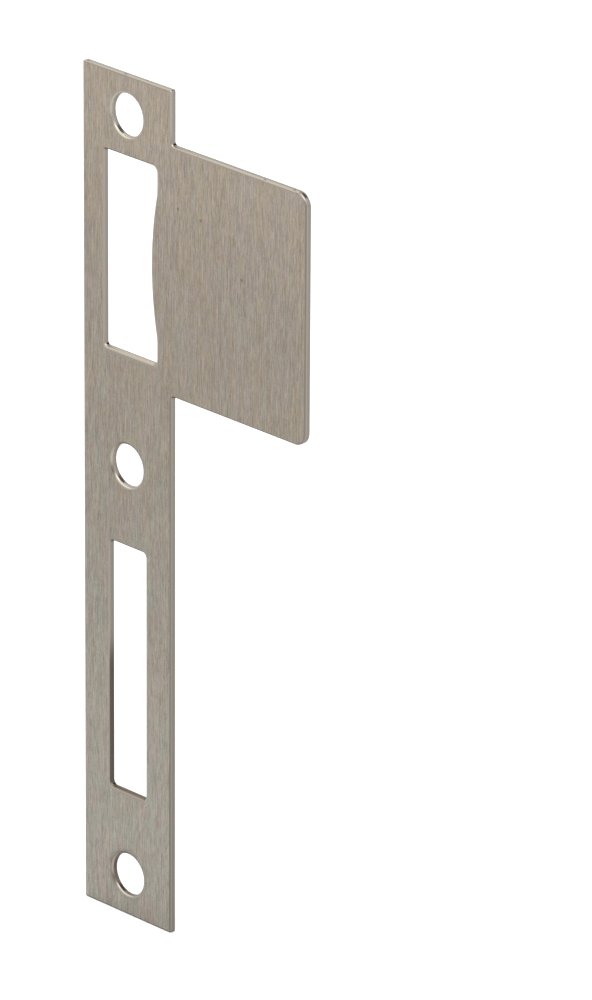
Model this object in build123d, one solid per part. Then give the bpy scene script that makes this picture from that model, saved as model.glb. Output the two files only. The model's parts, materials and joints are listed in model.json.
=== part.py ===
from build123d import *
import os

# Door strike plate, punched from one flat sheet.
# Row frame: x across the plate towards the flap, z up, y = 0 on the back face that lies against the
# frame, front face at y = -THICKNESS. The origin is on the strip's centre line, halfway up.
# All sizes are in millimetres.

# The strip and the flap
STRIP_LENGTH = 170.0
STRIP_WIDTH = 24.0
THICKNESS = 1.2
FLAP_REACH = 36.0           # how far the flap stands out from the strip's edge
FLAP_HEIGHT = 49.5
STRIP_CORNER_RADIUS = 0.4
FLAP_CORNER_RADIUS = 2.8
FLAP_ROOT_RADIUS = 0.7      # inner corners where the flap meets the strip

# The latch opening, level with the flap
LATCH_LEVEL = 49.5          # height of the latch's axis above the origin
LATCH_WIDTH = 14.4
LATCH_HEIGHT = 39.2
LATCH_SIDE_METAL = 5.7      # metal left between the opening and the strip's left edge
LATCH_LEFT_RADIUS = 0.7
LATCH_FLAP_RADIUS = 1.2     # corners on the flap's side
BULGE_DEPTH = 1.5           # how far the flap's side bulges into the opening
BULGE_END = 5.2             # straight length left above and below the bulge

# The bolt opening
BOLT_LEVEL = -34.2          # height of its centre, below the origin
BOLT_WIDTH = 10.0
BOLT_HEIGHT = 50.6
BOLT_SIDE_METAL = 7.1       # metal left between the opening and the strip's left edge
BOLT_CORNER_RADIUS = 1.0

# The three screw holes, on the strip's centre line
HOLE_DIAMETER = 8.4
TOP_HOLE_FROM_END = 7.9
BOTTOM_HOLE_FROM_END = 8.3
MIDDLE_HOLE_LEVEL = 7.4

# The front rim that the punch drew in
EDGE_ROLL = 0.35            # radius along the outline and the two openings
HOLE_ROLL = 0.5             # radius round the screw holes

SAME_PLACE = 1e-6           # a corner nearer to a line than this lies on it

STRIP_LEFT = -STRIP_WIDTH / 2
STRIP_RIGHT = STRIP_WIDTH / 2
STRIP_TOP = STRIP_LENGTH / 2
FLAP_TIP = STRIP_RIGHT + FLAP_REACH
HOLE_LEVELS = [
    STRIP_TOP - TOP_HOLE_FROM_END,
    MIDDLE_HOLE_LEVEL,
    -STRIP_TOP + BOTTOM_HOLE_FROM_END,
]


def rounded(sketch, *corners):
    """The sketch with its corners rounded; each entry is their upright line x, heights and radius."""
    for x, levels, radius in corners:
        sketch = fillet([v for v in sketch.vertices() if abs(v.X - x) < SAME_PLACE
                         and min(abs(v.Z - level) for level in levels) < SAME_PLACE], radius)
    return sketch


def plate_outline():
    """The strip with its flap, seen from the front, with every corner rounded."""
    flap_levels = (LATCH_LEVEL - FLAP_HEIGHT / 2, LATCH_LEVEL + FLAP_HEIGHT / 2)
    strip = Rectangle(STRIP_WIDTH, STRIP_LENGTH)
    reach_from_centre = Rectangle(FLAP_TIP, FLAP_HEIGHT, align=(Align.MIN, Align.CENTER))
    sketch = Plane.XZ * (strip + Pos(0, LATCH_LEVEL) * reach_from_centre)
    return rounded(
        sketch,
        (STRIP_LEFT, (-STRIP_TOP, STRIP_TOP), STRIP_CORNER_RADIUS),
        (STRIP_RIGHT, (-STRIP_TOP, STRIP_TOP), STRIP_CORNER_RADIUS),
        (STRIP_RIGHT, flap_levels, FLAP_ROOT_RADIUS),
        (FLAP_TIP, flap_levels, FLAP_CORNER_RADIUS),
    )


def latch_opening():
    """A tall window whose flap side bulges inwards in one shallow arc between two straight ends."""
    left = STRIP_LEFT + LATCH_SIDE_METAL
    right = left + LATCH_WIDTH
    bottom, top = LATCH_LEVEL - LATCH_HEIGHT / 2, LATCH_LEVEL + LATCH_HEIGHT / 2
    rim = Polyline((right, bottom + BULGE_END), (right, bottom), (left, bottom), (left, top),
                   (right, top), (right, top - BULGE_END))
    bulge = ThreePointArc(rim @ 1, (right - BULGE_DEPTH, LATCH_LEVEL), rim @ 0)
    sketch = Plane.XZ * make_face(rim + bulge)
    return rounded(sketch, (left, (bottom, top), LATCH_LEFT_RADIUS),
                   (right, (bottom, top), LATCH_FLAP_RADIUS))


def bolt_opening():
    """A narrow window with rounded corners."""
    window = RectangleRounded(BOLT_WIDTH, BOLT_HEIGHT, BOLT_CORNER_RADIUS)
    return Plane.XZ * Pos(STRIP_LEFT + BOLT_SIDE_METAL + BOLT_WIDTH / 2, BOLT_LEVEL) * window


def screw_holes():
    """Three round holes in a line."""
    return Plane.XZ * Sketch([Pos(0, level) * Circle(HOLE_DIAMETER / 2) for level in HOLE_LEVELS])


def strike_plate():
    """The punched sheet: outline, openings and holes, with the front rims drawn in round."""
    plate = extrude(plate_outline() - latch_opening() - bolt_opening(), THICKNESS)
    front_rims = plate.edges().filter_by_position(Axis.Y, -THICKNESS, -THICKNESS)
    plate = fillet(front_rims, EDGE_ROLL)
    plate -= extrude(screw_holes(), THICKNESS)
    front_holes = plate.edges().filter_by(GeomType.CIRCLE)
    front_holes = front_holes.filter_by_position(Axis.Y, -THICKNESS, -THICKNESS)
    front_holes = [edge for edge in front_holes if edge.is_closed]
    return fillet(front_holes, HOLE_ROLL)


os.makedirs("parts", exist_ok=True)
export_step(strike_plate(), "parts/strike_plate.step")
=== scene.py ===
import json
import math
from collections import namedtuple

import bpy
import numpy as np
from bpy.props import FloatProperty, FloatVectorProperty, IntProperty, PointerProperty
from mathutils import Matrix, Vector
from mathutils.geometry import delaunay_2d_cdt


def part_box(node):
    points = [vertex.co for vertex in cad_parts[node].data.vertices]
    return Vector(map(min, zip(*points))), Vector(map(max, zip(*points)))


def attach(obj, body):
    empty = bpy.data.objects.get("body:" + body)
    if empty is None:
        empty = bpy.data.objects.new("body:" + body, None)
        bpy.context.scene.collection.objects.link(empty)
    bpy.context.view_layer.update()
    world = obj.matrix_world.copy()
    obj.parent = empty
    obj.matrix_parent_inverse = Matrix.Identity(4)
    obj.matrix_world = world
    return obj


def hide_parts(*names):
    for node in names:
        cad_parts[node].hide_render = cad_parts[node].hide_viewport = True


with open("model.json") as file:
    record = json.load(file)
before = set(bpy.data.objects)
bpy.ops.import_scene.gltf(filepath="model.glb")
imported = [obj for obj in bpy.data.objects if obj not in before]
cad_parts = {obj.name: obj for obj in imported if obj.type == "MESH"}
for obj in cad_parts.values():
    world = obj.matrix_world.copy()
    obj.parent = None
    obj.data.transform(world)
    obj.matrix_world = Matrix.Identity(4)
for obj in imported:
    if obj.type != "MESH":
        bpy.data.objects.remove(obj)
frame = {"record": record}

bl_info = {
    "name": "Door Strike Plate",
    "version": (1, 0, 0),
    "blender": (4, 5, 0),
    "location": "3D View > Sidebar > Strike Plate",
    "description": "Builds a punched door strike plate in brushed stainless steel, with its studio",
    "category": "Object",
}

NODE = "strike_plate"
BODY = "root"
FRONT_SLOT, WALL_SLOT, BACK_SLOT = 0, 1, 2
MM = 0.001

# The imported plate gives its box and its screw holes.
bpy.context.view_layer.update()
LOW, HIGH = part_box(NODE)
MOUNTS = {mount["name"]: mount for mount in frame["record"]["mounts"]}
END_HOLES = MOUNTS["end_screw_holes"]
UPPER_HOLES = MOUNTS["upper_screw_holes"]
HOLE_RADIUS = END_HOLES["dims"]["hole_r_mm"] * MM
HALF_END_SPACING = END_HOLES["dims"]["spacing_y_mm"] * MM / 2
HALF_UPPER_SPACING = UPPER_HOLES["dims"]["spacing_y_mm"] * MM / 2
HOLE_LEVELS = (
    END_HOLES["pos_m"][2] + HALF_END_SPACING,
    UPPER_HOLES["pos_m"][2] - HALF_UPPER_SPACING,
    END_HOLES["pos_m"][2] - HALF_END_SPACING,
)

# Heights above the origin between which a tone or a rim changes, the upper one first: from the
# strip's top end to the flap's top, into the right side below that, from the top hole to the others,
# and into the walls with darker painted shade, the painted dark crease, the corners with less painted
# shade and the foot at the lower end.
TOP_END_TO_FLAP_TONE = (82 * MM, 76 * MM)
TOP_END_TO_FLAP_RIM = (80 * MM, 76 * MM)
INTO_FLAP_RIGHT = (78 * MM, 72 * MM)
TOP_HOLE_TO_OTHERS = (60 * MM, 30 * MM)
INTO_LOW_WALLS = (-27 * MM, -35 * MM)
INTO_LOW_CREASE = (-40 * MM, -60 * MM)
INTO_LOWEST_CORNERS = (-45 * MM, -55 * MM)
INTO_FOOT = (-75 * MM, -84 * MM)

# Stages of the rolled rim, from 0 at the face to 1 at the wall, where its tone changes.
CREASE_END = 0.4
WALL_TONE_START = 0.55
LOW_WALL_TONE_START = 0.30
WALL_TONE_BLEND = 0.3

# A hole's rim gets its darkest painted shade where its normal points right and up by this angle.
# That fades by this power of the cosine.
DARKEST_ANGLE = math.radians(26)
DARKEST_POWER = 24


def length(name, default, description):
    """A length in metres that a user can change."""
    return FloatProperty(name=name, default=default, description=description, min=0.0,
                         precision=5, subtype="DISTANCE", unit="LENGTH")


def colour(name, default, description):
    """A linear colour that a user can change."""
    return FloatVectorProperty(name=name, default=default, description=description, size=3,
                               min=0.0, max=1.0, subtype="COLOR")


def share(name, default, description):
    """A plain number from nothing to whole."""
    return FloatProperty(name=name, default=default, description=description, min=0.0, max=1.0,
                         subtype="FACTOR")


def angle(name, degrees, description):
    """An angle, stated in degrees."""
    return FloatProperty(name=name, default=math.radians(degrees), description=description,
                         subtype="ANGLE", unit="ROTATION")


class PlateShape(bpy.types.PropertyGroup):
    """Outline and openings of the punched sheet."""

    strip_width: length("Strip Width", 24.0 * MM, "Width of the tall strip")
    strip_corner: length("Strip Corner", 0.4 * MM, "Radius at the strip's four corners")
    flap_level: length("Flap Level", 49.5 * MM, "Height of the flap's middle above the origin")
    flap_height: length("Flap Height", 49.5 * MM, "Height of the flap")
    flap_corner: length("Flap Corner", 2.8 * MM, "Radius at the flap's outer corners")
    flap_root: length("Flap Root", 0.7 * MM, "Radius where the flap meets the strip")
    latch_side: length("Latch Side", 5.7 * MM, "Metal left of the latch opening")
    latch_width: length("Latch Width", 14.4 * MM, "Width of the latch opening")
    latch_height: length("Latch Height", 39.2 * MM, "Height of the latch opening")
    latch_left_corner: length("Latch Left Corner", 0.7 * MM, "Radius at the latch opening's left")
    latch_flap_corner: length("Latch Flap Corner", 1.2 * MM, "Radius at its corners by the flap")
    bulge_depth: length("Bulge Depth", 1.5 * MM, "How far the flap side bulges into the opening")
    bulge_end: length("Bulge End", 5.2 * MM, "Straight edge above and below the bulge")
    bolt_side: length("Bolt Side", 7.1 * MM, "Metal left of the bolt opening")
    bolt_drop: length("Bolt Drop", 34.2 * MM, "How far the bolt opening's middle lies below the origin")
    bolt_width: length("Bolt Width", 10.0 * MM, "Width of the bolt opening")
    bolt_height: length("Bolt Height", 50.6 * MM, "Height of the bolt opening")
    bolt_corner: length("Bolt Corner", 1.0 * MM, "Corner radius of the bolt opening")


class PunchedEdge(bpy.types.PropertyGroup):
    """Section of the edge that the punch left, from the front rim to the back."""

    roll: length("Roll", 0.35 * MM, "Radius that the punch drew into the front rim")
    flap_roll: length("Flap Roll", 0.50 * MM, "The same radius along the flap's top")
    sill_reach: length("Sill Reach", 0.90 * MM, "How far the rim of each opening's lower edge reaches")
    sill_depth: length("Sill Depth", 0.70 * MM, "How deep that wider rim is")
    hole_roll: length("Hole Roll", 0.50 * MM, "The same radius round the screw holes")
    burnish: length("Burnish", 0.80 * MM, "Depth at which the smooth cut wall breaks off")
    break_wander: length("Break Wander", 0.05 * MM, "How far that line wanders up and down")
    taper: length("Taper", 0.04 * MM, "How far the broken part of the wall falls back")
    dish: length("Dish", 0.12 * MM, "Depth of the shallow dish round the lowest hole")
    dish_reach: length("Dish Reach", 2.6 * MM, "Width of that dish outside the hole's rim")


class RimTone(bpy.types.PropertyGroup):
    """Painted shade and painted reflection on the cut edges, as shares of their own colour, set from the
    photograph.
    """

    right_wall: share("Right Wall", 0.80, "Walls that face to the flap's side")
    right_rim: share("Right Rim", 0.43, "Rims of the outline on that side, below the flap's top")
    upper_rim: share("Upper Rim", 0.78, "Rims of the outline on that side, above the flap")
    low_crease: share("Low Crease", 0.50, "Where the rim leaves the face, low on the strip's right")
    inner_rim: share("Inner Rim", 0.68, "Rims of the openings on that side")
    all_holes: share("All Holes", 0.94, "Rims of the holes, all round")
    hole_start: share("Hole Start", 0.80, "Rims of the holes where they leave the brushed face")
    hole_rim: share("Hole Rim", 0.36, "Rims of the holes below the flap, where they face right and up")
    top_rim: share("Top Rim", 0.55, "The rim at the strip's top end")
    sill_rim: share("Sill Rim", 0.63, "Rims at the openings' lower edges and the flap's top")
    under_rim: share("Under Rim", 0.36, "Rims that face down")
    lowest_rim: share("Lowest Rim", 0.20, "The rim at the strip's bottom end")
    lowest_hole: share("Lowest Hole", 0.86, "The lowest hole's rim, against the others")
    flap_wall: share("Flap Wall", 0.84, "The wall along the flap's top")
    under_wall: share("Under Wall", 0.35, "Walls that face down")
    low_walls: share("Low Walls", 0.30, "Walls of the openings in the lower third")
    low_hole_wall: share("Low Hole Wall", 0.46, "The lowest hole's wall")
    foot_wall: share("Foot Wall", 0.72, "Walls at the strip's bottom, against those at its top")
    # Painted shade: how much less of the dark painted into tight inner corners the lowest corners get.
    low_corner_shade: share("Low Soot", 0.25, "Soot in the bolt opening's lower corners, against the others")
    # Painted shade on the face round the lowest hole.
    halo: share("Halo", 0.34, "How much the face darkens round the lowest hole, up and to its left")
    halo_start: length("Halo Start", 0.4 * MM, "How far from the hole's wall that shade is full")
    halo_reach: length("Halo Reach", 1.4 * MM, "How far that shade reaches from the hole's wall")


class PlateMesh(bpy.types.PropertyGroup):
    """How finely the sheet is divided."""

    pitch: length("Pitch", 1.0 * MM, "Longest step along a straight edge")
    face_pitch: length("Face Pitch", 1.6 * MM, "Step between the points inside a face")
    corner_steps: IntProperty(name="Corner Steps", default=12, min=2,
                              description="Steps round each corner")
    hole_steps: IntProperty(name="Hole Steps", default=96, min=12,
                            description="Steps round each screw hole")
    roll_steps: IntProperty(name="Roll Steps", default=8, min=2,
                            description="Steps across the rolled front rim")


class PlateFinish(bpy.types.PropertyGroup):
    """Colours and grain of the brushed stainless steel."""

    # The face's drift from cool to warm up the strip, and its rise in lightness towards top and bottom,
    # are painted light.
    warm: colour("Warm Steel", (0.395, 0.336, 0.264), "Warmer tone, towards the top")
    cool: colour("Cool Steel", (0.374, 0.363, 0.312), "Cooler tone, towards the bottom")
    rosy: colour("Rosy Steel", (0.398, 0.340, 0.300), "Faint rosy streaks in the grain")
    bright_above: length("Bright Above", 40.0 * MM, "Height from which the face grows lighter")
    bright_below: length("Bright Below", 72.25 * MM, "Depth at which its lower part is lightest")
    rim: colour("Rolled Rim", (0.560, 0.510, 0.430), "The smooth rim that the punch drew in")
    wall: colour("Cut Wall", (0.425, 0.401, 0.360), "The smooth part of the punched wall")
    broken: colour("Broken Wall", (0.395, 0.377, 0.343), "The rough part of the punched wall")
    # Painted shade and painted reflection: the dark colour that the rims and walls turn towards where
    # rim_tone is low.
    edge_shade: colour("Tarnish", (0.052, 0.034, 0.016), "What darkens the edges where they are less clean")
    # Painted shade: the dark painted into tight inner corners of the cut wall.
    corner_shade: colour("Soot", (0.035, 0.028, 0.022), "Dark film left in tight inner corners")
    mill: colour("Mill Back", (0.360, 0.350, 0.330), "The unbrushed back of the sheet")
    graze: colour("Grazing Tint", (0.84, 0.82, 0.79), "Tint of the cut edges where light grazes them")
    middle_tone: share("Middle Tone", 0.92, "Lightness of the face at mid height, against its colours")
    upper_rise: share("Upper Rise", 0.155, "How much lighter the face grows towards its top")
    lower_rise: share("Lower Rise", 0.10, "How much lighter it grows towards its bottom")
    grain: share("Grain", 0.92, "How strongly the brushed lines lighten and darken the face")
    long_lines: share("Long Lines", 0.16, "How strongly wide and long lines do so")
    clouds: share("Clouds", 0.08, "How strongly soft patches do so")
    roughness: share("Roughness", 0.36, "Roughness of the brushed face")
    anisotropy: share("Anisotropy", 0.5, "How much the brushed lines stretch its reflections")
    edge_roughness: share("Edge Roughness", 0.16, "Roughness of the rims and the smooth walls")
    broken_roughness: share("Broken Roughness", 0.32, "Roughness of the broken part of the walls")
    mill_roughness: share("Mill Roughness", 0.42, "Roughness of the back")


class Studio(bpy.types.PropertyGroup):
    """Camera and light."""

    azimuth: angle("Azimuth", 46.022, "Camera's angle round the plate")
    elevation: angle("Elevation", 21.963, "Camera's angle above the horizon")
    roll: angle("Roll", 0.351, "Camera's turn about its own axis")
    distance: length("Distance", 1.68273, "From the camera to its aim")
    aim: FloatVectorProperty(name="Aim", size=3, default=(45.76 * MM, -1.25 * MM, 14.02 * MM),
                             description="Point in the middle of the picture",
                             subtype="TRANSLATION", unit="LENGTH")
    focal_length: FloatProperty(name="Focal Length", default=329.29, unit="CAMERA",
                                description="Focal length on a 36 mm sensor")
    key_size: length("Key Size", 0.80, "Side of the square soft light over the camera")
    key_place: FloatVectorProperty(name="Key Place", size=3, default=(0.63, -0.58, 1.11),
                                   description="Middle of that light, which looks at the origin",
                                   subtype="TRANSLATION", unit="LENGTH")
    key_colour: colour("Key Colour", (1.0, 0.98, 0.95), "Colour of that light")
    key_power: FloatProperty(name="Key Power", default=3.0, min=0.0, unit="POWER",
                             description="Power of that light")
    room: share("Room", 0.88, "Brightness of the pale room at eye level")
    above: share("Above", 0.48, "How much brighter the room is straight overhead")
    ceiling: share("Ceiling", 0.36, "How much brighter its ceiling in front of the plate is")
    window: share("Window", 0.17, "Brightness of its dark window, against the room round it")
    floor: share("Floor", 0.72, "Lightness of the floor")
    floor_glow: share("Floor Glow", 0.40, "How much lighter the camera alone sees the floor")
    floor_reach: length("Floor Reach", 4.0, "From the middle of the floor to its sides")


def rounded_corners(corners, radii, steps):
    """Points round a polygon with rounded corners, as a closed path in order.

    A corner's arc starts where the incoming side ends, radius * tan(turn / 2) before the corner,
    and is centre + radius * (cos, sin) of an angle that grows evenly by the turn. Corners run
    along the first axis and steps along the second.
    """
    corners = np.asarray(corners, float)
    radii = np.asarray(radii, float)[:, None]
    into = corners - np.roll(corners, 1, axis=0)
    into /= np.linalg.norm(into, axis=1, keepdims=True)
    away = np.roll(into, -1, axis=0)
    cross = into[:, 0] * away[:, 1] - into[:, 1] * away[:, 0]
    turn = np.arctan2(cross, (into * away).sum(axis=1))[:, None]
    start = corners - into * radii * np.tan(np.abs(turn) / 2)
    to_centre = np.sign(turn) * np.column_stack((-into[:, 1], into[:, 0]))
    centre = start + to_centre * radii
    first = np.arctan2(-to_centre[:, 1], -to_centre[:, 0])[:, None]
    angles = first + turn * np.linspace(0.0, 1.0, steps + 1)
    arcs = np.stack((np.cos(angles), np.sin(angles)), axis=-1)
    return (centre[:, None, :] + radii[:, :, None] * arcs).reshape(-1, 2)


def evened(path, pitch):
    """The closed path with points added along its straight sides, at most a pitch apart.

    Distance along the path is measured at its own points. Every whole pitch is added to them unless
    it lies too near to one, and each new point lies on the straight line between its neighbours.
    """
    too_near = 0.25 * pitch
    ring = np.vstack((path, path[:1]))
    along = np.concatenate(([0.0], np.cumsum(np.linalg.norm(np.diff(ring, axis=0), axis=1))))
    extra = np.arange(pitch, along[-1], pitch)
    gap = np.abs(extra[:, None] - along[None, :]).min(axis=1)
    stations = np.sort(np.concatenate((along[:-1], extra[gap > too_near])))
    return np.column_stack([np.interp(stations, along, ring[:, axis]) for axis in (0, 1)])


def rectangle(left, right, bottom, top):
    """Corners of a rectangle, anticlockwise from its lower left."""
    return [(left, bottom), (right, bottom), (right, top), (left, top)]


def outline_path(shape, mesh):
    """The strip with its flap, anticlockwise, so that the metal lies on the left."""
    left, right = LOW.x, LOW.x + shape.strip_width
    flap_low = shape.flap_level - shape.flap_height / 2
    flap_high = shape.flap_level + shape.flap_height / 2
    corners = [(left, LOW.z), (right, LOW.z), (right, flap_low), (HIGH.x, flap_low),
               (HIGH.x, flap_high), (right, flap_high), (right, HIGH.z), (left, HIGH.z)]
    strip, root, flap = shape.strip_corner, shape.flap_root, shape.flap_corner
    radii = [strip, strip, root, flap, flap, root, strip, strip]
    return evened(rounded_corners(corners, radii, mesh.corner_steps), mesh.pitch)


def latch_path(shape, mesh):
    """The latch opening, clockwise, its flap side bulging inwards.

    The bulge moves each point of that side by a circular arc's height over its chord:
    sqrt(R^2 - d^2) - (R - depth), where d is the distance from the arc's middle and
    R = (chord^2 / 4 + depth^2) / (2 depth).
    """
    left = LOW.x + shape.latch_side
    right = left + shape.latch_width
    bottom = shape.flap_level - shape.latch_height / 2
    top = shape.flap_level + shape.latch_height / 2
    corners = rectangle(left, right, bottom, top)
    left_radius, flap_radius = shape.latch_left_corner, shape.latch_flap_corner
    radii = [left_radius, flap_radius, flap_radius, left_radius]
    path = evened(rounded_corners(corners, radii, mesh.corner_steps), mesh.pitch)
    half_chord = shape.latch_height / 2 - shape.bulge_end
    radius = (half_chord ** 2 + shape.bulge_depth ** 2) / (2 * shape.bulge_depth)
    from_middle = np.minimum(np.abs(path[:, 1] - shape.flap_level), half_chord)
    height = np.sqrt(radius ** 2 - from_middle ** 2) - (radius - shape.bulge_depth)
    hair = 0.0001 * MM
    on_flap_side = path[:, 0] > right - hair
    path[:, 0] -= np.where(on_flap_side, height, 0.0)
    return path[::-1]


def bolt_path(shape, mesh):
    """The bolt opening, clockwise."""
    left = LOW.x + shape.bolt_side
    middle = -shape.bolt_drop
    corners = rectangle(left, left + shape.bolt_width, middle - shape.bolt_height / 2,
                        middle + shape.bolt_height / 2)
    path = rounded_corners(corners, [shape.bolt_corner] * 4, mesh.corner_steps)
    return evened(path, mesh.pitch)[::-1]


def hole_path(level, mesh):
    """A screw hole on the strip's centre line, clockwise: radius * (sin, cos) of an even angle."""
    turn = np.linspace(0.0, 2 * np.pi, mesh.hole_steps, endpoint=False)
    return np.column_stack((HOLE_RADIUS * np.sin(turn), level + HOLE_RADIUS * np.cos(turn)))


def out_of_metal(path):
    """Unit normals that point out of the metal, which lies on the path's left.

    Each is the line between a point's two neighbours, turned a quarter to the right.
    """
    along = np.roll(path, -1, axis=0) - np.roll(path, 1, axis=0)
    along /= np.linalg.norm(along, axis=1, keepdims=True)
    return np.column_stack((along[:, 1], -along[:, 0]))


def inner_corner(path, normals):
    """How far each point sits in a tight inner corner, from 0 to 1.

    It is the turn of the normals per length of path, where they turn towards each other, as a
    share of the turn in a corner of 1 mm radius, times (2 nx nz)^4, which is 1 halfway round.
    """
    step = np.roll(path, -1, axis=0) - np.roll(path, 1, axis=0)
    bend = np.roll(normals, -1, axis=0) - np.roll(normals, 1, axis=0)
    closing = -(step * bend).sum(axis=1) / (step * step).sum(axis=1)
    return np.clip(closing * MM, 0.0, 1.0) * (2 * normals[:, 0] * normals[:, 1]) ** 4


def smooth(part):
    """Part clipped to 0 and 1, then eased at both ends: 3 t^2 - 2 t^3."""
    part = np.clip(part, 0.0, 1.0)
    return part * part * (3 - 2 * part)


def fall(height, top, bottom):
    """0 above the top, 1 below the bottom, and eased between them."""
    return smooth((top - height) / (top - bottom))


def dish_depth(points, edge):
    """How deep the front lies below its plane at each (x, z): a shallow dish round the lowest hole.

    It deepens, eased at both ends, from nothing at its outer ring to its full depth at the rim.
    """
    away = np.hypot(points[..., 0], points[..., 1] - HOLE_LEVELS[-1]) - HOLE_RADIUS
    return edge.dish * smooth(1.0 - away / edge.dish_reach)


def face_slope(points, edge):
    """Normals of the front face at each (x, z), from the dish's depth a hair to each side."""
    hair = 0.01 * MM
    across = np.array([hair, 0.0])
    up = np.array([0.0, hair])
    slope_x = (dish_depth(points + across, edge) - dish_depth(points - across, edge)) / (2 * hair)
    slope_z = (dish_depth(points + up, edge) - dish_depth(points - up, edge)) / (2 * hair)
    normals = np.stack((slope_x, -np.ones_like(slope_x), slope_z), axis=-1)
    return normals / np.linalg.norm(normals, axis=-1, keepdims=True)


def wander(along, total):
    """A smooth line that wanders between -1 and 1 and closes on itself.

    It is a sum of three sines with whole numbers of waves in the total length, about 9, 3.7 and
    1.6 mm long, and the parts add up to 1.
    """
    turn = 2 * np.pi * along / total
    wave_lengths = np.array([9.0, 3.7, 1.6])
    waves = np.maximum(np.round(total / wave_lengths / MM), 1.0)
    phases = np.array([0.3, 1.9, 4.1])
    parts = np.array([0.5, 0.3, 0.2])
    return np.sin(turn[:, None] * waves + phases) @ parts


def rim_section(reach, roll, break_line, taper, steps):
    """The edge's section at each point of a path: inset, depth, outward part, forward part, stage.

    The rolled rim is a quarter ellipse: inset = reach * (1 - sin a), depth = roll * (1 - cos a), and
    its normal is (roll * sin a, reach * cos a), made a unit long. The burnished wall runs straight
    back to the break line, and the broken wall falls back evenly to the taper. Stage grows from 0
    at the front face to 1 at the rim's end, 2 at the break line and 3 at the back. Rows run along
    the first axis and the path along the second.
    """
    quarter = np.pi / 2
    turn = np.linspace(0.0, quarter, steps + 1)[:, None]
    down_burnished = np.array([0.08, 1.0])[:, None]
    down_broken = np.array([0.12, 0.4, 0.7, 1.0])[:, None]
    left = HIGH.y - LOW.y - break_line
    lean = np.arctan2(taper, left)
    burnished = np.ones((len(down_burnished), len(roll)))
    broken = np.ones((len(down_broken), len(roll)))
    steep = np.hypot(roll * np.sin(turn), reach * np.cos(turn))
    inset = np.vstack((reach * (1 - np.sin(turn)), 0 * burnished, taper * down_broken * broken))
    depth = np.vstack((roll * (1 - np.cos(turn)), roll + (break_line - roll) * down_burnished,
                       break_line + left * down_broken))
    outward = np.vstack((roll * np.sin(turn) / steep, burnished, np.cos(lean) * broken))
    forward = np.vstack((reach * np.cos(turn) / steep, 0 * burnished, -np.sin(lean) * broken))
    stage = np.vstack((turn / quarter, 1 + down_burnished, 2 + down_broken)) * np.ones_like(roll)
    return inset, depth, outward, forward, stage


def facing_parts(normals):
    """The squares of how far each normal faces right, up and down."""
    return (np.clip(part, 0.0, 1.0) ** 2 for part in (normals[:, 0], normals[:, 1], -normals[:, 1]))


def darkened(amount, part):
    """What is left of the full tone where a share of it counts by a part: 1 - (1 - share) * part."""
    return 1 - (1 - amount) * part


def between(first, second, part):
    """The first value at part 0, the second at part 1, and an even mix between them."""
    return first + (second - first) * part


def outline_tones(path, normals, tone):
    """How light the outline is at each point under its painted shade: its rim, its wall, the stage
    where the rim's tone starts to turn into the wall's, and the rim's crease at the face.

    Each share counts by the square of how far the normal faces its way. The rims at the right are
    darker below the flap's top, the rim at the bottom end is the darkest, and the wall is darker
    along the flap's top than at the strip's.
    """
    height = path[:, 1]
    right, up, down = facing_parts(normals)
    on_flap = fall(height, *TOP_END_TO_FLAP_TONE)
    right_rim = between(tone.upper_rim, tone.right_rim, fall(height, *INTO_FLAP_RIGHT))
    under_rim = between(tone.under_rim, tone.lowest_rim, fall(height, *INTO_FOOT))
    upper_rim = between(tone.top_rim, tone.sill_rim, on_flap)
    rim = darkened(right_rim, right) * darkened(upper_rim, up) * darkened(under_rim, down)
    crease = darkened(tone.low_crease, right * fall(height, *INTO_LOW_CREASE))
    return rim, darkened(tone.flap_wall, up * on_flap), WALL_TONE_START, crease


def opening_tones(path, normals, tone):
    """How light an opening is at each point under its painted shade, as outline_tones gives it.

    The wall darkens within 8 mm, a third of the way down from the middle to the strip's foot.
    """
    right, up, down = facing_parts(normals)
    rim = darkened(tone.inner_rim, right) * darkened(tone.sill_rim, up) * darkened(tone.under_rim, down)
    low = fall(path[:, 1], *INTO_LOW_WALLS)
    wall_start = between(WALL_TONE_START, LOW_WALL_TONE_START, low)
    return rim, darkened(tone.low_walls, low), wall_start, 1.0


def hole_tones(path, normals, tone):
    """How light a hole is at each point under its painted shade, as outline_tones gives it.

    The rim is darkest where its normal points right and a little up, by a high power of the cosine
    from there. The holes below the flap darken there more and where the rim faces down, and the
    lowest hole all round.
    """
    height = path[:, 1]
    _, _, down = facing_parts(normals)
    darkest = np.array([math.cos(DARKEST_ANGLE), math.sin(DARKEST_ANGLE)])
    near = np.clip(normals @ darkest, 0, 1) ** DARKEST_POWER
    below_flap = fall(height, *TOP_HOLE_TO_OTHERS)
    low = fall(height, *INTO_LOW_WALLS)
    rim = darkened(between(tone.inner_rim, tone.hole_rim, below_flap), near)
    rim = rim * darkened(tone.lowest_hole, low) * darkened(tone.under_rim, down * below_flap)
    return tone.all_holes * rim, darkened(tone.low_hole_wall, low), WALL_TONE_START, tone.hole_start


def painted_corner_shade(path, normals, tone):
    """How much painted corner shade each point gets: as far as it sits in an inner corner, less so in
    the lowest ones.
    """
    return inner_corner(path, normals) * darkened(tone.low_corner_shade, fall(path[:, 1], *INTO_LOWEST_CORNERS))


def rim_tones(path, normals, stage, tone, tones):
    """How light the rim and the wall are under their painted shade at each point of a carried section,
    from 0 to 1.

    All walls darken from the strip's top to its foot, and where they face right or down. The rim's
    share turns into the wall's from the stage that tones gives.
    """
    right, _, down = facing_parts(normals)
    rim, wall, wall_start, crease = tones(path, normals, tone)
    rim = rim * between(crease, 1, smooth(stage / CREASE_END))
    wall = wall * darkened(tone.foot_wall, fall(path[:, 1], HIGH.z, LOW.z))
    wall = wall * darkened(tone.right_wall, right) * darkened(tone.under_wall, down)
    return between(rim, wall, smooth((stage - wall_start) / WALL_TONE_BLEND))


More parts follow.
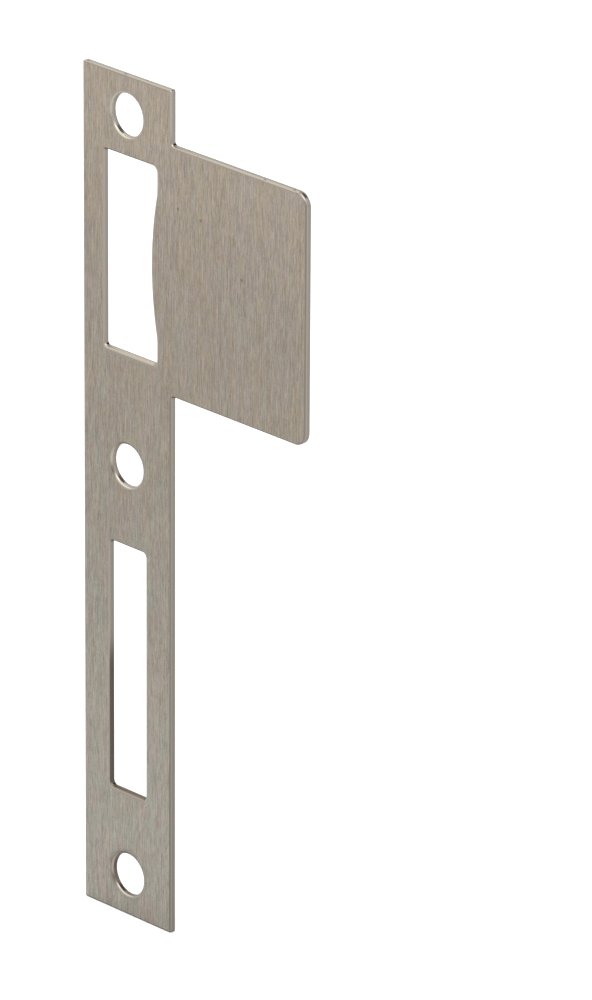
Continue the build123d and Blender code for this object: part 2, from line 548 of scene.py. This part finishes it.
def halo_shade(points, tone):
    """How far the face at each (x, z) lies in the painted shade round the lowest hole, up and to its
    left.

    It is full up to its start and fades, eased at both ends, to its reach. It counts by the square
    of the cosine from its middle direction, halfway between left and up, with a third of it left
    elsewhere.
    """
    up_left = np.array([-math.sqrt(0.5), math.sqrt(0.5)])
    away = points - np.array([0.0, HOLE_LEVELS[-1]])
    distance = np.linalg.norm(away, axis=1)
    lean = np.clip(away @ up_left / distance, 0.0, 1.0)
    near = fall(-distance, -HOLE_RADIUS - tone.halo_start, -HOLE_RADIUS - tone.halo_reach)
    return tone.halo * (1 - near) * (1 + 2 * lean ** 2) / 3


# An edge of the sheet: its rows of points with their surface normals, map and stage, and the normals
# of the path that it follows.
Edge = namedtuple("Edge", "points directions wall_map stage normals")


def carried_section(path, rim, edge, mesh):
    """The edge's section carried along a closed path.

    A point is path - normal * inset, at its section's depth behind the front. The rim's reach and
    depth are given at each point of the path. The break line wanders with the path, and the dish
    presses the whole section back, less and less towards the back.
    """
    normals = out_of_metal(path)
    steps = np.linalg.norm(np.roll(path, -1, axis=0) - path, axis=1)
    along = np.concatenate(([0.0], np.cumsum(steps)[:-1]))
    thickness = HIGH.y - LOW.y
    break_line = edge.burnish + edge.break_wander * wander(along, steps.sum())
    section = rim_section(*rim, break_line, edge.taper, mesh.roll_steps)
    inset, depth, outward_part, forward_part, stage = section
    flat = path[None] - normals[None] * inset[:, :, None]
    pressed = dish_depth(flat, edge)
    depth = pressed + (thickness - pressed) * depth / thickness
    points = np.stack((flat[..., 0], LOW.y + depth, flat[..., 1]), axis=-1)
    outward = np.stack((normals[:, 0], np.zeros(len(path)), normals[:, 1]), axis=-1)
    forward = face_slope(flat, edge)
    directions = outward_part[..., None] * outward[None] + forward_part[..., None] * forward
    directions /= np.linalg.norm(directions, axis=-1, keepdims=True)
    wall_map = np.stack(np.broadcast_arrays(along[None, :], depth), axis=-1)
    return Edge(points, directions, wall_map, stage, normals)


def widened_rim(path, edge, reach, depth):
    """A rim that widens where it faces up, as its reach and depth at each point.

    Both change from the roll's radius to the stated ones by the square of how far the wall faces
    up. The strip's top end keeps the roll.
    """
    up = np.clip(out_of_metal(path)[:, 1], 0.0, 1.0) ** 2 * fall(path[:, 1], *TOP_END_TO_FLAP_RIM)
    return between(edge.roll, reach, up), between(edge.roll, depth, up)


def round_rim(path, radius):
    """A rim of one radius all along a path, as reach and depth at each point."""
    return np.full(len(path), radius), np.full(len(path), radius)


def in_metal(points, paths):
    """Whether each (x, z) lies in the metal: a ray to the right crosses the paths an odd number of
    times.
    """
    inside = np.zeros(len(points), bool)
    for path in paths:
        after = np.roll(path, -1, axis=0)
        above = path[None, :, 1] > points[:, None, 1]
        crosses = above != (after[None, :, 1] > points[:, None, 1])
        rise = np.where(after[:, 1] == path[:, 1], 1.0, after[:, 1] - path[:, 1])
        share_up = (points[:, None, 1] - path[None, :, 1]) / rise
        meets = path[None, :, 0] + share_up * (after[:, 0] - path[:, 0])[None, :]
        inside ^= (crosses & (points[:, None, 0] < meets)).sum(axis=1) % 2 == 1
    return inside


def face_points(paths, edge, mesh):
    """Points inside a face: rings round the dished hole and an even grid over the rest.

    The rings lie from a fifth of the dish's reach to a little past it. A grid point too near to a
    ring or a path is left out.
    """
    too_near = 0.55 * mesh.face_pitch
    rings = HOLE_RADIUS + np.linspace(0.2, 1.1, num=7) * edge.dish_reach
    turn = np.linspace(0.0, 2 * np.pi, mesh.hole_steps // 2, endpoint=False)
    ring_x = rings[:, None] * np.sin(turn)[None, :]
    ring_z = HOLE_LEVELS[-1] + rings[:, None] * np.cos(turn)[None, :]
    around = np.column_stack((ring_x.ravel(), ring_z.ravel()))
    grid_x, grid_z = np.meshgrid(np.arange(LOW.x, HIGH.x, mesh.face_pitch),
                                 np.arange(LOW.z, HIGH.z, mesh.face_pitch))
    grid = np.column_stack((grid_x.ravel(), grid_z.ravel()))
    grid = grid[in_metal(grid, paths)]
    near = np.vstack([*paths, around])
    gap = np.sqrt(((grid[:, None, :] - near[None, :, :]) ** 2).sum(axis=-1)).min(axis=1)
    return np.vstack((around, grid[gap > too_near]))


def face_triangles(paths, inner):
    """Triangles between the paths and the inner points, as numbers in that order.

    The path's own sides are kept as sides, and triangles whose middle lies in no metal are dropped.
    """
    sizes = np.array([len(path) for path in paths])
    starts = np.concatenate(([0], np.cumsum(sizes)[:-1]))
    sides = np.vstack([start + np.column_stack((np.arange(size), (np.arange(size) + 1) % size))
                       for start, size in zip(starts, sizes)])
    points = np.vstack([*paths, inner]) / MM
    found = delaunay_2d_cdt(points.tolist(), sides.tolist(), [], 0, 1e-6)
    order = np.array(found[3])[:, 0]
    triangles = order[np.array(found[2])]
    middles = points[triangles].mean(axis=1) * MM
    return triangles[in_metal(middles, paths)]


def quad_band(rows, columns):
    """Quads of a grid whose columns close on themselves, as point numbers row after row."""
    row, column = np.meshgrid(np.arange(rows - 1), np.arange(columns), indexing="ij")
    after = (column + 1) % columns
    corners = (row * columns + column, row * columns + after,
               (row + 1) * columns + after, (row + 1) * columns + column)
    return np.stack(corners, axis=-1).reshape(-1, 4)


def facing(points, faces, wanted):
    """The faces turned, where needed, so that each one's own normal agrees with the wanted one."""
    own = np.cross(points[faces[:, 1]] - points[faces[:, 0]], points[faces[:, 2]] - points[faces[:, 0]])
    wrong = (own * wanted).sum(axis=1) < 0
    return np.where(wrong[:, None], faces[:, ::-1], faces)


def carried_edges(shape, edge, mesh):
    """The paths of the outline, the two openings and the holes, and the edge along each."""
    paths = [outline_path(shape, mesh), latch_path(shape, mesh), bolt_path(shape, mesh)]
    paths += [hole_path(level, mesh) for level in HOLE_LEVELS]
    rims = [widened_rim(path, edge, edge.flap_roll, edge.flap_roll) for path in paths[:1]]
    rims += [widened_rim(path, edge, edge.sill_reach, edge.sill_depth) for path in paths[1:3]]
    rims += [round_rim(path, edge.hole_roll) for path in paths[3:]]
    return paths, [carried_section(path, rim, edge, mesh) for path, rim in zip(paths, rims)]


def filled_face(edges, starts, row, first, edge, mesh):
    """The inner points of a face, as (x, z), and its triangles.

    It fills between the given row of all edges, whose point numbers begin at starts. Its own points
    are numbered from first.
    """
    rings = [part.points[row][:, (0, 2)] for part in edges]
    numbers = [start + np.arange(part.stage.size).reshape(part.stage.shape)[row]
               for start, part in zip(starts, edges)]
    inner = face_points(rings, edge, mesh)
    numbers.append(first + np.arange(len(inner)))
    return inner, np.concatenate(numbers)[face_triangles(rings, inner)]


def edge_marks(paths, edges, tone):
    """What the wall's material reads at each point of the edges, by name.

    Stage, and the painted shade of rims, walls and inner corners, are worked out along the section.
    Nicks count by the square of how far the outline faces up or down.
    """
    kinds = [outline_tones, opening_tones, opening_tones] + [hole_tones] * len(HOLE_LEVELS)
    tones = [rim_tones(path, part.normals, part.stage, tone, kind)
             for path, part, kind in zip(paths, edges, kinds)]
    corners = [np.broadcast_to(painted_corner_shade(path, part.normals, tone), part.stage.shape)
               for path, part in zip(paths, edges)]
    outline = edges[0]
    return {
        "stage": np.concatenate([part.stage.ravel() for part in edges]),
        "rim_tone": np.concatenate([part.ravel() for part in tones]),
        "inner_corner": np.concatenate([part.ravel() for part in corners]),
        "nicked": np.broadcast_to(outline.normals[:, 1] ** 2, outline.stage.shape).ravel(),
    }


def make_sheet(shape, edge, tone, mesh):
    """The punched sheet as one closed mesh with exact normals.

    The section carried along each path gives the rims and walls. The front and back faces fill
    between the first rows and between the last rows of all sections.
    """
    paths, edges = carried_edges(shape, edge, mesh)
    starts = np.concatenate(([0], np.cumsum([part.stage.size for part in edges])))
    wall_points = np.vstack([part.points.reshape(-1, 3) for part in edges])
    wall_normals = np.vstack([part.directions.reshape(-1, 3) for part in edges])
    wall_maps = np.vstack([part.wall_map.reshape(-1, 2) for part in edges])
    wall_quads = np.vstack([start + quad_band(*part.stage.shape) for start, part in zip(starts, edges)])

    in_front, front = filled_face(edges, starts, 0, len(wall_points), edge, mesh)
    behind, back = filled_face(edges, starts, -1, len(wall_points) + len(in_front), edge, mesh)
    front_depth = dish_depth(in_front, edge) + LOW.y
    front_points = np.column_stack((in_front[:, 0], front_depth, in_front[:, 1]))
    back_points = np.column_stack((behind[:, 0], np.full(len(behind), HIGH.y), behind[:, 1]))
    points = np.vstack((wall_points, front_points, back_points))

    quads = facing(points, wall_quads, wall_normals[wall_quads].mean(axis=1))
    front = facing(points, front, np.array([0.0, -1.0, 0.0]))
    back = facing(points, back, np.array([0.0, 1.0, 0.0]))
    front_normals = face_slope(points[front.ravel()][:, (0, 2)], edge)
    back_normals = np.tile([0.0, 1.0, 0.0], (back.size, 1))
    loop_normals = np.vstack((wall_normals[quads.ravel()], front_normals, back_normals))
    face_maps = points[np.concatenate((front.ravel(), back.ravel()))][:, (0, 2)]
    loop_maps = np.vstack((wall_maps[quads.ravel()], face_maps)) / MM

    sheet = bpy.data.meshes.new("punched_sheet")
    sheet.from_pydata(points.tolist(), [], quads.tolist() + front.tolist() + back.tolist())
    slots = np.repeat((WALL_SLOT, FRONT_SLOT, BACK_SLOT), (len(quads), len(front), len(back)))
    sheet.polygons.foreach_set("material_index", slots.astype(np.int32))
    sheet.polygons.foreach_set("use_smooth", np.ones(len(slots), bool))
    sheet.uv_layers.new(name="sheet_map").data.foreach_set("uv", loop_maps.ravel())
    marks = edge_marks(paths, edges, tone)
    marks["halo"] = halo_shade(points[:, (0, 2)], tone)
    for name, marked in marks.items():
        values = np.zeros(len(points), np.float32)
        values[:len(marked)] = marked
        sheet.attributes.new(name, "FLOAT", "POINT").data.foreach_set("value", values)
    sheet.normals_split_custom_set(loop_normals.tolist())
    return sheet


def add_node(tree, kind, inputs=None, **settings):
    """A shader node with its settings made and its inputs set or linked."""
    node = tree.nodes.new(kind)
    for name, value in settings.items():
        setattr(node, name, value)
    for name, value in (inputs or {}).items():
        if isinstance(value, bpy.types.NodeSocket):
            tree.links.new(value, node.inputs[name])
        else:
            node.inputs[name].default_value = value
    return node


def add_math(tree, operation, first, second=0.0, third=0.0, clamp=False):
    """A calculation with one, two or three numbers; gives its result."""
    node = add_node(tree, "ShaderNodeMath", {0: first, 1: second, 2: third}, operation=operation,
                    use_clamp=clamp)
    return node.outputs[0]


def add_mix(tree, factor, first, second):
    """Two colours mixed; gives the colour."""
    node = add_node(tree, "ShaderNodeMix", data_type="RGBA", clamp_factor=True)
    for socket, value in ((node.inputs[0], factor), (node.inputs[6], first), (node.inputs[7], second)):
        if isinstance(value, bpy.types.NodeSocket):
            tree.links.new(value, socket)
        else:
            socket.default_value = (*value, 1.0) if hasattr(value, "__len__") else value
    return node.outputs[2]


def add_range(tree, value, low, high, to_low=0.0, to_high=1.0):
    """A value's smooth rise from one number to another over a range; gives the result."""
    node = add_node(tree, "ShaderNodeMapRange", {0: value, 1: low, 2: high, 3: to_low, 4: to_high},
                    interpolation_type="SMOOTHSTEP")
    return node.outputs[0]


def add_mark(tree, name):
    """A mark of the mesh, by its name; gives its value."""
    return add_node(tree, "ShaderNodeAttribute", attribute_name=name).outputs["Fac"]


def new_group(name, inputs, outputs):
    """A shader node group with named number inputs and outputs; gives the group and its ends."""
    group = bpy.data.node_groups.new(name, "ShaderNodeTree")
    for socket_name, default in inputs:
        socket = group.interface.new_socket(socket_name, in_out="INPUT", socket_type="NodeSocketFloat")
        socket.default_value = default
    for socket_name in outputs:
        group.interface.new_socket(socket_name, in_out="OUTPUT", socket_type="NodeSocketFloat")
    return group, group.nodes.new("NodeGroupInput"), group.nodes.new("NodeGroupOutput")


def add_group(tree, group, **inputs):
    """A node that holds a group, with its inputs set by name."""
    node = tree.nodes.new("ShaderNodeGroup")
    node.node_tree = group
    for name, value in inputs.items():
        socket = node.inputs[name.replace("_", " ")]
        if isinstance(value, bpy.types.NodeSocket):
            tree.links.new(value, socket)
        else:
            socket.default_value = value
    return node


# How much longer than the stated length each layer of brushed lines is, and its share.
LINE_LAYERS = ((0.12, 0.42), (0.4, 0.56), (1.0, 0.58), (2.5, 0.40))


def brushed_lines_group():
    """Parallel lines along the strip, from the brushing belt, around 0.

    Four noises on object coordinates, all squeezed across the lines to their width and stretched
    along them to an eighth, two fifths, one and two and a half times their length, both in
    millimetres, are added in the shares of LINE_LAYERS. Shift moves them, so two layers differ.
    """
    layer_shift = 3.7
    inputs = (("Width", 0.4), ("Length", 5.0), ("Shift", 0.0))
    group, start, end = new_group("brushed_lines", inputs, ("Lines",))
    place = add_node(group, "ShaderNodeTexCoord").outputs["Object"]
    across = add_math(group, "DIVIDE", 1 / MM, start.outputs["Width"])
    lines = 0.0
    for number, (longer, part) in enumerate(LINE_LAYERS):
        along = add_math(group, "DIVIDE", 1 / MM / longer, start.outputs["Length"])
        stretch = add_node(group, "ShaderNodeCombineXYZ", {"X": across, "Y": across, "Z": along})
        scaled = add_node(group, "ShaderNodeVectorMath", {0: place, 1: stretch.outputs[0]},
                          operation="MULTIPLY")
        shift = add_math(group, "ADD", start.outputs["Shift"], layer_shift * number)
        noise = add_node(group, "ShaderNodeTexNoise", {"Vector": scaled.outputs[0], "Scale": 1.0,
                                                       "W": shift, "Detail": 3.0, "Roughness": 0.6},
                         noise_dimensions="4D")
        centred = add_math(group, "SUBTRACT", noise.outputs[0], 0.5)
        lines = add_math(group, "MULTIPLY_ADD", centred, part, lines)
    group.links.new(lines, end.inputs["Lines"])
    return group


def clouds_group():
    """Soft uneven patches of tone, in millimetres, a little longer along the strip than across."""
    inputs = (("Size", 12.0), ("Stretch", 2.0), ("Shift", 0.0))
    group, start, end = new_group("soft_patches", inputs, ("Patches",))
    place = add_node(group, "ShaderNodeTexCoord").outputs["Object"]
    across = add_math(group, "DIVIDE", 1 / MM, start.outputs["Size"])
    along = add_math(group, "DIVIDE", across, start.outputs["Stretch"])
    stretch = add_node(group, "ShaderNodeCombineXYZ", {"X": across, "Y": across, "Z": along})
    scaled = add_node(group, "ShaderNodeVectorMath", {0: place, 1: stretch.outputs[0]},
                      operation="MULTIPLY")
    noise = add_node(group, "ShaderNodeTexNoise", {"Vector": scaled.outputs[0], "Scale": 1.0,
                                                   "W": start.outputs["Shift"], "Detail": 2.0},
                     noise_dimensions="4D")
    group.links.new(noise.outputs[0], end.inputs["Patches"])
    return group


def new_material(name):
    """An empty node material with its shader and output; gives the material, tree and shader."""
    material = bpy.data.materials.new(name)
    material.use_nodes = True
    tree = material.node_tree
    tree.nodes.clear()
    shader = add_node(tree, "ShaderNodeBsdfPrincipled")
    add_node(tree, "ShaderNodeOutputMaterial", {"Surface": shader.outputs[0]})
    return material, tree, shader


def set_bump(tree, shader, height, strength, distance):
    """Feeds a height to the shader's normal."""
    bump = add_node(tree, "ShaderNodeBump", {"Strength": strength, "Distance": distance,
                                             "Height": height})
    tree.links.new(bump.outputs[0], shader.inputs["Normal"])


# Middles of three dark specks on the brushed face, across and up from the origin, in millimetres.
SPECKS = ((20.0, 61.8), (13.9, 62.4), (31.0, 53.1))
SPECK_REACH = 0.5 * MM
SPECK_CORE = 0.1 * MM
SPECK_TONE = 0.6

# How strongly streaks sway the face between its colours, and how rosy it is between them.
WARM_SWAY = 3.5
ROSY_SWAY = 4.6
ROSY_MIDDLE = 0.25

# The strength of the brushed lines that the grain's share of 1 stands for.
FULL_GRAIN = 2.0

# How much rougher the brushed face is where a line is light.
GRAIN_ROUGHNESS = 0.25

# Stages of the cut wall: its start at the rim, the break line, and the back edge, a little darker.
RIM_END = (0.85, 1.15)
BREAK_LINE = (1.9, 2.2)
BACK_EDGE = (2.6, 2.9)
BACK_EDGE_TONE = 0.86

# How far small patches shift the break line, in stages, and how strong a patch is where a nick
# starts and where it has its full depth.
BREAK_SWAY = 0.5
NICK_START = (0.60, 0.70)
NICK_DEPTH = 0.5

# How strongly faint lines and patches sway the tone of the mill back, and patches its roughness.
MILL_LINES = 0.25
MILL_PATCHES = 0.25
MILL_ROUGHNESS_SWAY = 0.3


def speck_mask(tree, place):
    """1 on each of the dark specks, falling to 0 at its reach."""
    mask = 0.0
    for across, up in SPECKS:
        middle = (across * MM, LOW.y, up * MM)
        away = add_node(tree, "ShaderNodeVectorMath", {0: place, 1: middle}, operation="DISTANCE")
        speck = add_range(tree, away.outputs["Value"], SPECK_REACH, SPECK_CORE)
        mask = add_math(tree, "ADD", speck, mask)
    return mask


def swayed(tree, patches, strength, middle):
    """A value that soft patches, around one half, sway from its middle."""
    return add_math(tree, "MULTIPLY_ADD", add_math(tree, "SUBTRACT", patches, 0.5), strength, middle)


def brushed_face_material(finish, lines, patches):
    """The brushed front: fine upright lines, streaks of hue, a painted drift of light and hue up the
    strip, and painted shade round the lowest hole.
    """
    material, tree, shader = new_material("brushed_face")
    place = add_node(tree, "ShaderNodeTexCoord").outputs["Object"]
    level = add_node(tree, "ShaderNodeSeparateXYZ", {0: place}).outputs["Z"]
    fine = add_group(tree, lines, Width=0.20, Length=3.8).outputs[0]
    long = add_group(tree, lines, Width=1.1, Length=26.0, Shift=7.0).outputs[0]
    hue = add_group(tree, lines, Width=1.6, Length=12.0, Shift=30.0).outputs[0]
    blush = add_group(tree, lines, Width=2.2, Length=9.0, Shift=50.0).outputs[0]
    cloud = add_group(tree, patches, Size=14.0, Stretch=2.5).outputs[0]

    # Painted light: the face turns from cool at its foot to warm at its top, swayed by streaks of hue.
    height = add_range(tree, level, LOW.z, HIGH.z)
    warmth = add_math(tree, "MULTIPLY_ADD", hue, WARM_SWAY, height, clamp=True)
    steel = add_mix(tree, warmth, tuple(finish.cool), tuple(finish.warm))
    rosy = add_math(tree, "MULTIPLY_ADD", blush, ROSY_SWAY, ROSY_MIDDLE, clamp=True)
    steel = add_mix(tree, rosy, steel, tuple(finish.rosy))
    # Painted light: the face grows lighter towards its top and towards its bottom.
    upper = add_range(tree, level, finish.bright_above, HIGH.z)
    lower = add_range(tree, level, 0.0, -finish.bright_below)
    tone = add_math(tree, "MULTIPLY_ADD", upper, finish.upper_rise, finish.middle_tone)
    tone = add_math(tree, "MULTIPLY_ADD", lower, finish.lower_rise, tone)
    # Painted shade round the lowest hole, up and to its left.
    tone = add_math(tree, "MULTIPLY", tone, add_math(tree, "SUBTRACT", 1.0, add_mark(tree, "halo")))
    lift = add_math(tree, "MULTIPLY", fine, finish.grain * FULL_GRAIN)
    lift = add_math(tree, "MULTIPLY_ADD", long, finish.long_lines, lift)
    lift = swayed(tree, cloud, finish.clouds, lift)
    tone = add_math(tree, "MULTIPLY_ADD", lift, tone, tone)
    specks = add_range(tree, speck_mask(tree, place), 0.0, 1.0, 1.0, SPECK_TONE)
    tone = add_math(tree, "MULTIPLY", tone, specks)
    toned = add_node(tree, "ShaderNodeVectorMath", {0: steel, 3: tone}, operation="SCALE")
    tree.links.new(toned.outputs[0], shader.inputs["Base Color"])
    rough = add_math(tree, "MULTIPLY_ADD", fine, GRAIN_ROUGHNESS, finish.roughness)
    tree.links.new(rough, shader.inputs["Roughness"])
    shader.inputs["Metallic"].default_value = 1.0
    shader.inputs["Anisotropic"].default_value = finish.anisotropy
    set_bump(tree, shader, fine, strength=0.25, distance=0.01 * MM)
    return material


def cut_wall_material(finish, lines, patches):
    """The rim and the punched wall: rolled, then burnished, then broken.

    They carry painted shade and painted reflection where their tone is low, are nicked along the top
    and bottom edges, and carry painted shade in tight inner corners.
    """
    material, tree, shader = new_material("cut_wall")
    place = add_node(tree, "ShaderNodeTexCoord").outputs["Object"]
    stage = add_mark(tree, "stage")
    cloud = add_group(tree, patches, Size=1.4, Stretch=1.0, Shift=5.0).outputs[0]
    on_wall = add_range(tree, stage, *RIM_END)
    broken = add_range(tree, swayed(tree, cloud, BREAK_SWAY, stage), *BREAK_LINE)
    steel = add_mix(tree, on_wall, tuple(finish.rim), tuple(finish.wall))
    steel = add_mix(tree, broken, steel, tuple(finish.broken))
    back_edge = add_range(tree, stage, *BACK_EDGE, 1.0, BACK_EDGE_TONE)
    # Painted shade and painted reflection: the rim_tone mark darkens rims and walls by where they face
    # and how high they sit.
    tone = add_math(tree, "MULTIPLY", add_mark(tree, "rim_tone"), back_edge)
    nicks = add_group(tree, patches, Size=1.1, Stretch=1.0, Shift=9.0).outputs[0]
    nicks = add_math(tree, "MULTIPLY", add_mark(tree, "nicked"), add_range(tree, nicks, *NICK_START))
    unnicked = add_math(tree, "MULTIPLY_ADD", nicks, -NICK_DEPTH, 1.0)
    tone = add_math(tree, "MULTIPLY", tone, unnicked)
    # Painted shade: the steel turns towards the dark edge colour where rim_tone is low.
    toned = add_mix(tree, tone, tuple(finish.edge_shade), steel)
    # Painted shade in tight inner corners of the wall.
    corner_shaded = add_math(tree, "MULTIPLY", add_mark(tree, "inner_corner"), on_wall)
    steel = add_mix(tree, corner_shaded, toned, tuple(finish.corner_shade))
    tree.links.new(steel, shader.inputs["Base Color"])
    rougher = finish.broken_roughness - finish.edge_roughness
    rough = add_math(tree, "MULTIPLY_ADD", broken, rougher, finish.edge_roughness)
    tree.links.new(rough, shader.inputs["Roughness"])
    shader.inputs["Metallic"].default_value = 1.0
    shader.inputs["Specular Tint"].default_value = (*finish.graze, 1.0)
    grit = add_node(tree, "ShaderNodeTexNoise", {"Vector": place, "Scale": 9.0 / MM, "Detail": 3.0})
    grit = add_math(tree, "MULTIPLY", grit.outputs[0], broken)
    set_bump(tree, shader, grit, strength=0.5, distance=0.03 * MM)
    return material


def mill_back_material(finish, lines, patches):
    """The back, left as it came from the mill: duller, with faint rolling lines and patches."""
    material, tree, shader = new_material("mill_back")
    faint = add_group(tree, lines, Width=0.9, Length=40.0, Shift=11.0).outputs[0]
    cloud = add_group(tree, patches, Size=9.0, Stretch=1.6, Shift=2.0).outputs[0]
    tone = add_math(tree, "MULTIPLY_ADD", faint, MILL_LINES, 1.0)
    tone = swayed(tree, cloud, MILL_PATCHES, tone)
    toned = add_node(tree, "ShaderNodeVectorMath", {0: tuple(finish.mill), 3: tone}, operation="SCALE")
    tree.links.new(toned.outputs[0], shader.inputs["Base Color"])
    rough = swayed(tree, cloud, MILL_ROUGHNESS_SWAY, finish.mill_roughness)
    tree.links.new(rough, shader.inputs["Roughness"])
    shader.inputs["Metallic"].default_value = 1.0
    set_bump(tree, shader, faint, strength=0.15, distance=0.01 * MM)
    return material


class STRIKEPLATE_OT_sheet(bpy.types.Operator):
    """Build the punched sheet with its rolled rims, cut walls, brushed front and mill back"""

    bl_idname = "strikeplate.sheet"
    bl_label = "Punched Sheet"
    bl_options = {"REGISTER", "UNDO"}

    def execute(self, context):
        scene = context.scene
        mesh = make_sheet(scene.plate_shape, scene.punched_edge, scene.rim_tone, scene.plate_mesh)
        lines, patches = brushed_lines_group(), clouds_group()
        for make in (brushed_face_material, cut_wall_material, mill_back_material):
            mesh.materials.append(make(scene.plate_finish, lines, patches))
        sheet = bpy.data.objects.new("punched_sheet", mesh)
        scene.collection.objects.link(sheet)
        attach(sheet, BODY)
        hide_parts(NODE)
        return {"FINISHED"}


def add_camera(scene, studio):
    """The camera stands back from its aim by its distance, at its azimuth and elevation."""
    around, up = studio.azimuth, studio.elevation
    back = Vector((math.sin(around) * math.cos(up), -math.cos(around) * math.cos(up), math.sin(up)))
    camera = bpy.data.objects.new("camera", bpy.data.cameras.new("camera"))
    camera.data.lens = studio.focal_length
    camera.data.sensor_width = 36.0
    turned = back.to_track_quat("Z", "Y").to_matrix().to_4x4() @ Matrix.Rotation(studio.roll, 4, "Z")
    camera.matrix_world = Matrix.Translation(Vector(studio.aim) + back * studio.distance) @ turned
    scene.collection.objects.link(camera)
    scene.camera = camera


def add_floor(scene, studio):
    """A pale floor under the plate's lower end."""
    corners = np.array([(-1, -1), (1, -1), (1, 1), (-1, 1)]) * studio.floor_reach
    mesh = bpy.data.meshes.new("floor")
    mesh.from_pydata(np.column_stack((corners, np.full(4, LOW.z))).tolist(), [], [(0, 1, 2, 3)])
    material, tree, shader = new_material("pale_floor")
    shader.inputs["Base Color"].default_value = (studio.floor, studio.floor, studio.floor, 1.0)
    shader.inputs["Roughness"].default_value = 1.0
    shader.inputs["Specular IOR Level"].default_value = 0.0
    shader.inputs["Emission Color"].default_value = (1.0, 1.0, 1.0, 1.0)
    seen = add_node(tree, "ShaderNodeLightPath").outputs["Is Camera Ray"]
    glow = add_math(tree, "MULTIPLY", seen, studio.floor_glow)
    tree.links.new(glow, shader.inputs["Emission Strength"])
    mesh.materials.append(material)
    floor = bpy.data.objects.new("floor", mesh)
    scene.collection.objects.link(floor)


def add_key_light(scene, studio):
    """A soft light over and in front of the plate."""
    light = bpy.data.lights.new("key_light", "AREA")
    light.shape = "SQUARE"
    light.size = studio.key_size
    light.energy = studio.key_power
    light.color = tuple(studio.key_colour)
    lamp = bpy.data.objects.new("key_light", light)
    place = Vector(studio.key_place)
    lamp.matrix_world = Matrix.Translation(place) @ place.to_track_quat("Z", "Y").to_matrix().to_4x4()
    scene.collection.objects.link(lamp)


# The two round patches of the room that the metal mirrors: the direction of the middle, and the
# outer and the inner angle in degrees.
DARK_WINDOW = (Vector((0.07, 0.64, 0.76)), 27.0, 14.0)
LIGHT_CEILING = (Vector((-0.30, -0.50, 0.81)), 50.0, 34.0)


def round_patch(tree, direction, middle, outer, inner):
    """A round patch of the room: 0 outside the outer angle from its middle, 1 inside the inner."""
    near = add_node(tree, "ShaderNodeVectorMath", {0: direction, 1: middle.normalized()},
                    operation="DOT_PRODUCT")
    return add_range(tree, near.outputs["Value"], math.cos(math.radians(outer)),
                     math.cos(math.radians(inner)))


def add_world(scene, studio):
    """A pale room, with a light ceiling in front, a dark window high up behind the plate, and plain
    white behind the view.
    """
    world = bpy.data.worlds.new("room")
    world.use_nodes = True
    tree = world.node_tree
    tree.nodes.clear()
    direction = add_node(tree, "ShaderNodeTexCoord").outputs["Generated"]
    window = round_patch(tree, direction, *DARK_WINDOW)
    ceiling = round_patch(tree, direction, *LIGHT_CEILING)
    height = add_node(tree, "ShaderNodeSeparateXYZ", {0: direction}).outputs["Z"]
    overhead = add_math(tree, "MAXIMUM", height, 0.0)
    level = add_math(tree, "MULTIPLY_ADD", overhead, studio.above, studio.room)
    level = add_math(tree, "MULTIPLY_ADD", ceiling, studio.ceiling, level)
    level = add_math(tree, "MULTIPLY", level, add_range(tree, window, 0.0, 1.0, 1.0, studio.window))
    seen = add_node(tree, "ShaderNodeLightPath").outputs["Is Camera Ray"]
    room = add_node(tree, "ShaderNodeBackground", {"Strength": level})
    white = add_node(tree, "ShaderNodeBackground", {"Strength": 1.0})
    for background in (room, white):
        background.inputs["Color"].default_value = (1.0, 1.0, 1.0, 1.0)
    both = add_node(tree, "ShaderNodeMixShader", {0: seen, 1: room.outputs[0], 2: white.outputs[0]})
    add_node(tree, "ShaderNodeOutputWorld", {"Surface": both.outputs[0]})
    scene.world = world


class STRIKEPLATE_OT_stage(bpy.types.Operator):
    """Set up the camera, the pale floor and the soft studio light"""

    bl_idname = "strikeplate.stage"
    bl_label = "Studio"
    bl_options = {"REGISTER", "UNDO"}

    def execute(self, context):
        scene = context.scene
        add_camera(scene, scene.studio)
        add_floor(scene, scene.studio)
        add_key_light(scene, scene.studio)
        add_world(scene, scene.studio)
        scene.view_settings.view_transform = "Standard"
        return {"FINISHED"}


class STRIKEPLATE_PT_panel(bpy.types.Panel):
    """Lists the strike plate's settings and the steps that build it"""

    bl_idname = "STRIKEPLATE_PT_panel"
    bl_label = "Strike Plate"
    bl_space_type = "VIEW_3D"
    bl_region_type = "UI"
    bl_category = "Strike Plate"

    def draw(self, context):
        for name in GROUPS:
            group = getattr(context.scene, name)
            box = self.layout.box()
            box.label(text=name.replace("_", " ").title())
            for key in group.bl_rna.properties.keys():
                if key not in ("rna_type", "name"):
                    box.prop(group, key)
        for operator in OPERATORS:
            self.layout.operator(operator.bl_idname)


GROUPS = {
    "plate_shape": PlateShape,
    "punched_edge": PunchedEdge,
    "rim_tone": RimTone,
    "plate_mesh": PlateMesh,
    "plate_finish": PlateFinish,
    "studio": Studio,
}
OPERATORS = (STRIKEPLATE_OT_stage, STRIKEPLATE_OT_sheet)
CLASSES = (*GROUPS.values(), *OPERATORS, STRIKEPLATE_PT_panel)


def register():
    """Registers the classes and hangs the settings on the scene."""
    for cls in CLASSES:
        bpy.utils.register_class(cls)
    for name, group in GROUPS.items():
        setattr(bpy.types.Scene, name, PointerProperty(type=group))


def unregister():
    """Takes the settings off the scene and removes the classes."""
    for name in GROUPS:
        delattr(bpy.types.Scene, name)
    for cls in reversed(CLASSES):
        bpy.utils.unregister_class(cls)


def main():
    """Builds the studio and the plate."""
    register()
    bpy.ops.strikeplate.stage()
    bpy.ops.strikeplate.sheet()


if __name__ == "__main__":
    main()
